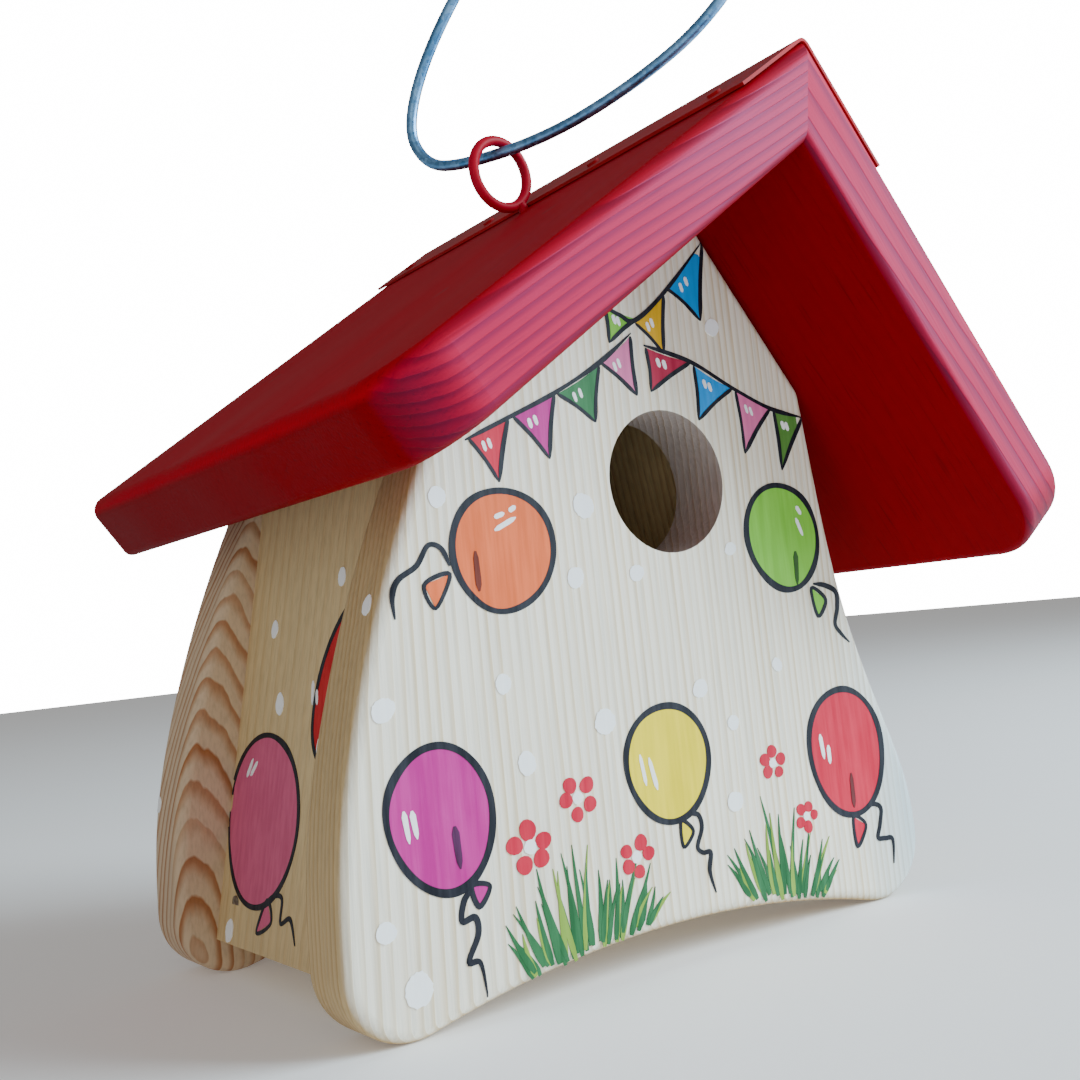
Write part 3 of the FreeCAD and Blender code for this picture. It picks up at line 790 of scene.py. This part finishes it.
def strewTree():
    group = bpy.data.node_groups.new("strewOnBoard", "GeometryNodeTree")
    face = group.interface
    sockets = {}
    for name, kind in (("Spots", "Geometry"), ("Stamp", "Object"), ("Size", "Float"),
                       ("Size Spread", "Float"), ("Turn Spread", "Float"), ("Seed", "Int"),
                       ("Finish", "Material")):
        sockets[name] = face.new_socket(name=name, in_out="INPUT", socket_type="NodeSocket" + kind)
    face.new_socket(name="Painted", in_out="OUTPUT", socket_type="NodeSocketGeometry")
    start = place(group, "NodeGroupInput")
    stamp = place(group, "GeometryNodeObjectInfo", {"Object": start.outputs["Stamp"]})
    lean = place(group, "GeometryNodeInputNamedAttribute", {0: "lean"}, data_type="FLOAT").outputs[0]
    wide = place(group, "GeometryNodeInputNamedAttribute", {0: "wide"}, data_type="FLOAT").outputs[0]
    tall = place(group, "GeometryNodeInputNamedAttribute", {0: "tall"}, data_type="FLOAT").outputs[0]
    sway = calc(group, "MULTIPLY", start.outputs["Turn Spread"], -1.0)
    jitter = place(group, "FunctionNodeRandomValue",
                   {2: sway, 3: start.outputs["Turn Spread"], "Seed": start.outputs["Seed"]},
                   data_type="FLOAT").outputs[1]
    turn = place(group, "ShaderNodeCombineXYZ", {1: calc(group, "ADD", lean, jitter)}).outputs[0]
    low = calc(group, "SUBTRACT", 1.0, start.outputs["Size Spread"])
    high = calc(group, "ADD", 1.0, start.outputs["Size Spread"])
    sizeSeed = calc(group, "ADD", start.outputs["Seed"], 7)  # other draws than the turn's
    vary = place(group, "FunctionNodeRandomValue", {2: low, 3: high, "Seed": sizeSeed},
                 data_type="FLOAT").outputs[1]
    size = calc(group, "MULTIPLY", start.outputs["Size"], vary)
    scale = place(group, "ShaderNodeCombineXYZ", {0: calc(group, "MULTIPLY", size, wide), 1: 1.0,
                                                  2: calc(group, "MULTIPLY", size, tall)}).outputs[0]
    put = place(group, "GeometryNodeInstanceOnPoints", {"Points": start.outputs["Spots"],
                                                        "Instance": stamp.outputs["Geometry"],
                                                        "Rotation": turn, "Scale": scale})
    real = place(group, "GeometryNodeRealizeInstances", {0: put.outputs[0]})
    dressed = place(group, "GeometryNodeSetMaterial",
                    {"Geometry": real.outputs[0], "Material": start.outputs["Finish"]})
    place(group, "NodeGroupOutput", {0: dressed.outputs[0]})
    return group, sockets


strewGroup, strewSockets = strewTree()
coatStep = 0.009 * mm
coatSteps = 5


# A flat stamp in the XZ plane about the origin, as thick as a coat of paint
def makeStamp(name, outline, height):
    mesh = bmesh.new()
    rim = [(i, (i + 1) % len(outline)) for i in range(len(outline))]
    flat, _, faces, _, _, _ = delaunay_2d_cdt([Vector(p) for p in outline], rim, [], 1, 1e-9)
    front = [mesh.verts.new((p.x, -height, p.y)) for p in flat]
    back = [mesh.verts.new((p.x, paintRoot, p.y)) for p in flat]
    sides = set()
    for face in faces:
        mesh.faces.new([front[i] for i in face])
        mesh.faces.new([back[i] for i in reversed(face)])
        sides.update(zip(face, list(face[1:]) + [face[0]]))
    for a, b in sides:
        if (b, a) not in sides:
            mesh.faces.new([front[b], front[a], back[a], back[b]])
    bmesh.ops.recalc_face_normals(mesh, faces=mesh.faces)
    data = bpy.data.meshes.new(name)
    mesh.to_mesh(data)
    mesh.free()
    stamp = addObject(name, data)
    return stamp


# spots are (x, z, lean in degrees, width and height factors), in mm on the front board's face.
# Neighbours lie at slightly different heights, so that overlapping ones don't share a plane
def strew(name, spots, stamp, finish, settings):
    data = bpy.data.meshes.new(name + "Spots")
    data.from_pydata([(s[0] * mm, frontY - coatStep * (i % coatSteps), s[1] * mm)
                      for i, s in enumerate(spots)], [], [])
    for key, column, factor in (("lean", 2, math.pi / 180), ("wide", 3, 1.0), ("tall", 4, 1.0)):
        layer = data.attributes.new(key, "FLOAT", "POINT")
        layer.data.foreach_set("value", [s[column] * factor for s in spots])
    carrier = addObject(name + "Carrier", data)
    modifier = carrier.modifiers.new("strew", "NODES")
    modifier.node_group = strewGroup
    values = dict(settings, Stamp=stamp, Finish=finish)
    for key, value in values.items():
        modifier[strewSockets[key].identifier] = value
    bpy.context.view_layer.update()
    ready = carrier.evaluated_get(bpy.context.evaluated_depsgraph_get())
    mesh = bpy.data.meshes.new_from_object(ready)
    carrier.modifiers.remove(modifier)
    bpy.data.objects.remove(carrier)
    piece = addObject(name, mesh)
    mesh.name = name
    bpy.data.objects.remove(stamp)
    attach(piece, "house")
    return piece


def blobOutline(radius, seed, count=32, uneven=0.14, ragged=0.10):
    rim = []
    for i in range(count):
        angle = 2 * math.pi * i / count
        way = Vector((math.cos(angle), math.sin(angle), seed))
        reach = radius * mm * (1 + uneven * noise.noise(way) + ragged * noise.noise(way * 4.3))
        rim.append((reach * math.cos(angle), reach * math.sin(angle)))
    return rim


dotSpots = [(-62, 106, 1.0), (-25, 103, 1.25), (-29, 87, 1.05), (-12, 87, 0.95), (17, 91, 0.8),
            (19, 146, 1.15), (-78, 64, 1.1), (-25, 55, 1.3), (-46, 49, 1.05), (3, 59, 0.95), (12, 50, 0.85),
            (10, 32, 1.1), (-81, 22, 1.0), (-75, 10, 1.55), (28, 62, 0.8), (-50, 66, 0.9)]
dotLook = {"radius": 2.05, "height": 0.18, "stretch": 1.15, "tall": (0.95, 1.2), "pitch": 1.0}
sideDots = [(-32, 83, 1.9), (-24, 65, 2.3), (-41, 12, 2.3), (5, 93, 1.9)]
flankDots = [(40, 85, 1.8), (26, 58, 2.3), (10, 23, 2.9)]
rearFlankDots = [(-43, 70, 1.9), (-64, 42, 1.7)]
flowerSpots = [(-34, 40, 1.0), (-47, 32, 1.1), (-20, 25, 0.95), (23, 39, 0.85), (32, 25, 0.75)]
petals = {"count": 5, "ring": 3.3, "long": 1.75, "wide": 1.7, "height": 0.16, "uneven": 9,
          "heart": 1.35, "heartHeight": 0.18}
tufts = [{"from": -49, "to": -17, "edge": (6.4, 10.0), "top": 27, "blades": 30},
         {"from": 11, "to": 37, "edge": (9.4, 5.4), "top": 24, "blades": 24}]


def paintDots():
    dice = random.Random(11)
    spots = [(x, z, dice.uniform(0, 360), size, size * dice.uniform(*dotLook["tall"]))
             for x, z, size in dotSpots]
    for step in range(3):
        some = spots[step::3]
        stamp = makeStamp("dotStamp", blobOutline(dotLook["radius"], 3.3 + step * 5), dotLook["height"] * mm)
        strew("dots" + "ABC"[step], some, stamp, inks["dotWhite"],
              {"Size": 1.0, "Size Spread": 0.08, "Turn Spread": 0.4, "Seed": 4 + step})
    mesh = bmesh.new()
    for canvas, places in ((panelCanvas, sideDots), (flankCanvas, flankDots),
                           (rearFlankCanvas, rearFlankDots)):
        for u, v, radius in places:
            rim = [(u * mm + p[0], v * mm + p[1] * dotLook["stretch"]) for p in blobOutline(radius, u)]
            layPatch(mesh, canvas, rim, dotLook["height"] * mm, 0, dotLook["pitch"])
    paintPiece("sideDots", mesh, ["dotWhite"])


def paintFlowers():
    dice = random.Random(5)
    spots = []
    for x, z, size in flowerSpots:
        first = dice.uniform(0, 72)
        for i in range(petals["count"]):
            lean = first + i * 360 / petals["count"] + dice.uniform(-petals["uneven"], petals["uneven"])
            angle = math.radians(lean)
            reach = petals["ring"] * size * dice.uniform(0.92, 1.08)
            spots.append((x + reach * math.sin(angle), z + reach * math.cos(angle), lean, size,
                          size * dice.uniform(0.9, 1.1)))
    rim = [(petals["wide"] * mm * math.cos(a), petals["long"] * mm * math.sin(a) * (1 - 0.12 * math.cos(a)))
           for a in [2 * math.pi * i / 14 for i in range(14)]]
    strew("flowerPetals", spots, makeStamp("petalStamp", rim, petals["height"] * mm), inks["petal"],
          {"Size": 1.0, "Size Spread": 0.1, "Turn Spread": 0.2, "Seed": 21})
    hearts = [(x, z, 0, size, size) for x, z, size in flowerSpots]
    heartStamp = makeStamp("heartStamp", blobOutline(petals["heart"], 8.0), petals["heartHeight"] * mm)
    strew("flowerHearts", hearts, heartStamp, inks["white"],
          {"Size": 1.0, "Size Spread": 0.08, "Turn Spread": 1.0, "Seed": 22})


blade = {"tall": 10, "half": 0.85, "tip": 0.05, "taper": 0.8, "foot": 0.45, "footRise": 3, "fan": 34,
         "fanMiddle": 0.45, "shorten": 0.62, "height": 0.12, "heightStep": 0.02}


# One blade, curved and tapering to a point
def bladeOutline(bend):
    left = []
    right = []
    for i in range(8):
        t = i / 7
        middle = bend * t * t
        foot = min(1.0, blade["foot"] + blade["footRise"] * t)
        half = (blade["half"] * (1 - t) ** blade["taper"] + blade["tip"]) * foot
        left.append(((middle - half) * mm, blade["tall"] * t * mm))
        right.append(((middle + half) * mm, blade["tall"] * t * mm))
    return left + right[::-1]


def paintGrass():
    for part, (ink, bend, shift) in enumerate((("bladeDark", -1.2, 0.0), ("bladePale", 1.4, 0.45),
                                               ("bladeDark", 0.9, 0.2))):
        dice = random.Random(31 + part)
        spots = []
        for tuft in tufts:
            count = tuft["blades"] // (2 + part % 2)
            for i in range(count):
                share = min(1.0, max(0.0, (i + shift + dice.uniform(-0.3, 0.3)) / count))
                x = tuft["from"] + (tuft["to"] - tuft["from"]) * share
                z = tuft["edge"][0] + (tuft["edge"][1] - tuft["edge"][0]) * share + dice.uniform(-0.6, 1.2)
                fan = (share - blade["fanMiddle"]) * 2
                tallest = tuft["top"] / blade["tall"] * (1 - blade["shorten"] * abs(fan))
                height = tallest * dice.uniform(0.55, 1.0)
                spots.append((x, z, fan * blade["fan"] + dice.uniform(-6, 6), 1.0, height))
        thick = (blade["height"] + blade["heightStep"] * part) * mm
        strew("grassBlades" + "ABC"[part], spots, makeStamp("bladeStamp", bladeOutline(bend), thick),
              inks[ink], {"Size": 1.0, "Size Spread": 0.12, "Turn Spread": 0.06, "Seed": 40 + part})


# The wire loop: stiff galvanised wire through the screw eye

loop = {
    "wire": 3.0,
    "turn": 60.0,
    "drop": 3.4,
    "points": [(-14.0, -0.8), (14.0, 0.8), (40.0, 8.8), (62.0, 20.0), (78.0, 38.0), (84.0, 61.0),
               (70.0, 81.0), (45.0, 87.0), (19.0, 75.0), (-3.0, 54.0), (-20.0, 32.0), (-27.2, 13.5),
               (-23.0, 3.0)],
    "steps": 16,
    "roundness": 8,
    "pale": "86b8e4", "dark": "4e84b4", "rough": 0.27, "streaks": (90, 90, 40), "metal": 0.95,
}


def eyeTopPoint():
    joint = next(j for j in frame["joints"] if j["name"] == "hanger_swing")
    return Vector(joint["pos_m"])


def buildLoop():
    turn = math.radians(loop["turn"])
    along = Vector((math.cos(turn), -math.sin(turn), 0))
    origin = eyeTopPoint() - Vector((0, 0, loop["drop"] * mm))
    curve = bpy.data.curves.new("wireRoute", "CURVE")
    curve.dimensions = "3D"
    spline = curve.splines.new("NURBS")
    spline.points.add(len(loop["points"]) - 1)
    for point, (reach, height) in zip(spline.points, loop["points"]):
        spot = origin + along * reach * mm + Vector((0, 0, height * mm))
        point.co = (*spot, 1)
    spline.use_cyclic_u = True
    spline.order_u = 3
    spline.resolution_u = loop["steps"]
    curve.bevel_depth = loop["wire"] * mm / 2
    curve.bevel_resolution = loop["roundness"]
    carrier = addObject("wireRoute", curve)
    bpy.context.view_layer.update()
    mesh = bpy.data.meshes.new_from_object(carrier.evaluated_get(bpy.context.evaluated_depsgraph_get()))
    bpy.data.objects.remove(carrier)
    mesh.name = "wireLoop"
    for face in mesh.polygons:
        face.use_smooth = True
    mesh.materials.clear()
    mesh.materials.append(steelFinish("galvanisedWire", loop["pale"], loop["dark"], loop["rough"],
                                      loop["streaks"], loop["metal"]))
    piece = addObject("wireLoop", mesh)
    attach(piece, "hanger")
    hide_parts("hanger_wire")


# The ridge cap: thin sheet bent over the ridge, a little wavy along its edges

cap = {"thick": 0.8, "bend": 2.4, "lift": 0.12, "wave": 0.22, "flatShare": 0.45, "rows": 72, "columns": 10,
       "bendSteps": 8, "deep": "960c16", "worn": "b41420", "rough": 0.42}


def buildCap():
    mesh = bmesh.new()
    low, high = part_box("ridge_cap")
    source = cadNodes["ridge_cap"].data
    apex = max((v.co for v in source.vertices), key=lambda p: p.z)
    leftTip = min((v.co for v in source.vertices), key=lambda p: p.x)
    rightTip = max((v.co for v in source.vertices), key=lambda p: p.x)
    leftDown = Vector((leftTip.x - apex.x, 0, leftTip.z - apex.z)).normalized()
    rightDown = Vector((rightTip.x - apex.x, 0, rightTip.z - apex.z)).normalized()
    leftLong = (Vector((leftTip.x, 0, leftTip.z)) - Vector((apex.x, 0, apex.z))).length
    rightLong = (Vector((rightTip.x, 0, rightTip.z)) - Vector((apex.x, 0, apex.z))).length
    peak = Vector((apex.x, 0, apex.z))
    profile = [peak + leftDown * (leftLong - (leftLong - cap["bend"] * mm) * i / cap["columns"])
               for i in range(cap["columns"])]
    start = peak + leftDown * cap["bend"] * mm
    end = peak + rightDown * cap["bend"] * mm
    for i in range(cap["bendSteps"] + 1):
        t = i / cap["bendSteps"]
        profile.append(start * (1 - t) ** 2 + peak * 2 * t * (1 - t) + end * t ** 2)
    bend = cap["bend"] * mm
    profile += [peak + rightDown * (bend + (rightLong - bend) * (i + 1) / cap["columns"])
                for i in range(cap["columns"])]
    grid = []
    for row in range(cap["rows"] + 1):
        y = low.y + (high.y - low.y) * row / cap["rows"]
        line = []
        for i, spot in enumerate(profile):
            before = profile[max(i - 1, 0)]
            after = profile[min(i + 1, len(profile) - 1)]
            side = (after - before).normalized()
            out = Vector((-side.z, 0, side.x))
            edge = max(0.0, abs(i - len(profile) / 2) / (len(profile) / 2) - cap["flatShare"])
            wave = 0.5 + 0.5 * noise.noise(Vector((y * 28, i * 0.15, 2.0)))
            rise = (cap["lift"] + cap["wave"] * edge * 2 * wave) * mm
            top = spot + out * rise
            line.append((mesh.verts.new((top.x, y, top.z)),
                         mesh.verts.new((top - out * cap["thick"] * mm).xyz + Vector((0, y, 0)))))
        grid.append(line)
    last = len(profile) - 1
    for row in range(cap["rows"]):
        a, b = grid[row], grid[row + 1]
        for i in range(last):
            mesh.faces.new([a[i][0], a[i + 1][0], b[i + 1][0], b[i][0]])
            mesh.faces.new([a[i][1], b[i][1], b[i + 1][1], a[i + 1][1]])
        for i in (0, last):
            mesh.faces.new([a[i][0], b[i][0], b[i][1], a[i][1]])
    for line in (grid[0], grid[-1]):
        for i in range(last):
            mesh.faces.new([line[i][0], line[i][1], line[i + 1][1], line[i + 1][0]])
    bmesh.ops.recalc_face_normals(mesh, faces=mesh.faces)
    data = bpy.data.meshes.new("capSheet")
    mesh.to_mesh(data)
    mesh.free()
    data.materials.append(sheetPaint("capPaint", cap["deep"], cap["worn"], cap["rough"]))
    piece = addObject("capSheet", data)
    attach(piece, "house")
    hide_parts("ridge_cap")


# Finishes on the CAD pieces


def dress(node, finish):
    mesh = cadNodes[node].data
    mesh.materials.clear()
    mesh.materials.append(finish)


# Paint as deep, worn and rough; steel as pale, dark, rough and streaks
hardware = {"eye": ("a00420", "c41030", 0.36), "tacks": ("960c16", "b41420", 0.40),
            "roofNails": ("90000e", "ac001a", 0.55), "steel": ("a9a59c", "6e6a63", 0.34, (200, 200, 200))}


def dressFrame():
    for node in ("front_board", "back_board", "left_side_panel", "right_side_panel", "floor_hatch"):
        dress(node, bareWood(node + "Pine", logs[node], node == "front_board"))
    for node in ("left_roof_board", "right_roof_board"):
        dress(node, paintedRoof(node + "Paint", logs[node]))
    redSteel = sheetPaint("eyePaint", *hardware["eye"])
    tackPaint = sheetPaint("tackPaint", *hardware["tacks"])
    nailSteel = steelFinish("nailSteel", *hardware["steel"])
    dress("screw_eye", redSteel)
    for node in ("left_cap_tacks", "right_cap_tacks"):
        dress(node, tackPaint)
    nailPaint = sheetPaint("nailPaint", *hardware["roofNails"])
    for node in ("left_roof_nails", "right_roof_nails"):
        dress(node, nailPaint)
    for node in ("left_pivot_nail", "right_pivot_nail", "turn_button", "turn_button_screw", "front_staples",
                 "rear_staples"):
        dress(node, nailSteel)


def buildFloor():
    half = studio["floorHalf"]
    data = bpy.data.meshes.new("studioFloor")
    corners = [(-half, -half, 0), (half, -half, 0), (half, half, 0), (-half, half, 0)]
    data.from_pydata(corners, [], [(0, 1, 2, 3)])
    floor = addObject("studioFloor", data)
    finish, tree, shader = newFinish("paleFloor")
    shader.inputs["Base Color"].default_value = studio["floorTint"]
    shader.inputs["Roughness"].default_value = studio["floorRough"]
    shader.inputs["Emission Color"].default_value = (1, 1, 1, 1)
    shader.inputs["Emission Strength"].default_value = studio["floorGlow"]
    data.materials.append(finish)


buildCamera()
softLight("window", studio["windowAt"], studio["windowSize"], studio["windowPower"], studio["windowTint"])
softLight("fill", studio["fillAt"], studio["fillSize"], studio["fillPower"], studio["fillTint"])
buildSky()
buildFloor()
print("studio ready")
dressFrame()
buildLoop()
buildCap()
print("wire loop and ridge cap ready")
paintBalloons("balloon", frontCanvas, balloons, strokes["balloon"])
paintBalloons("sideBalloon", panelCanvas, sideBalloons, strokes["sideBalloon"])
paintCrowns()
paintBunting()
paintDots()
paintFlowers()
paintGrass()
print("painting ready")
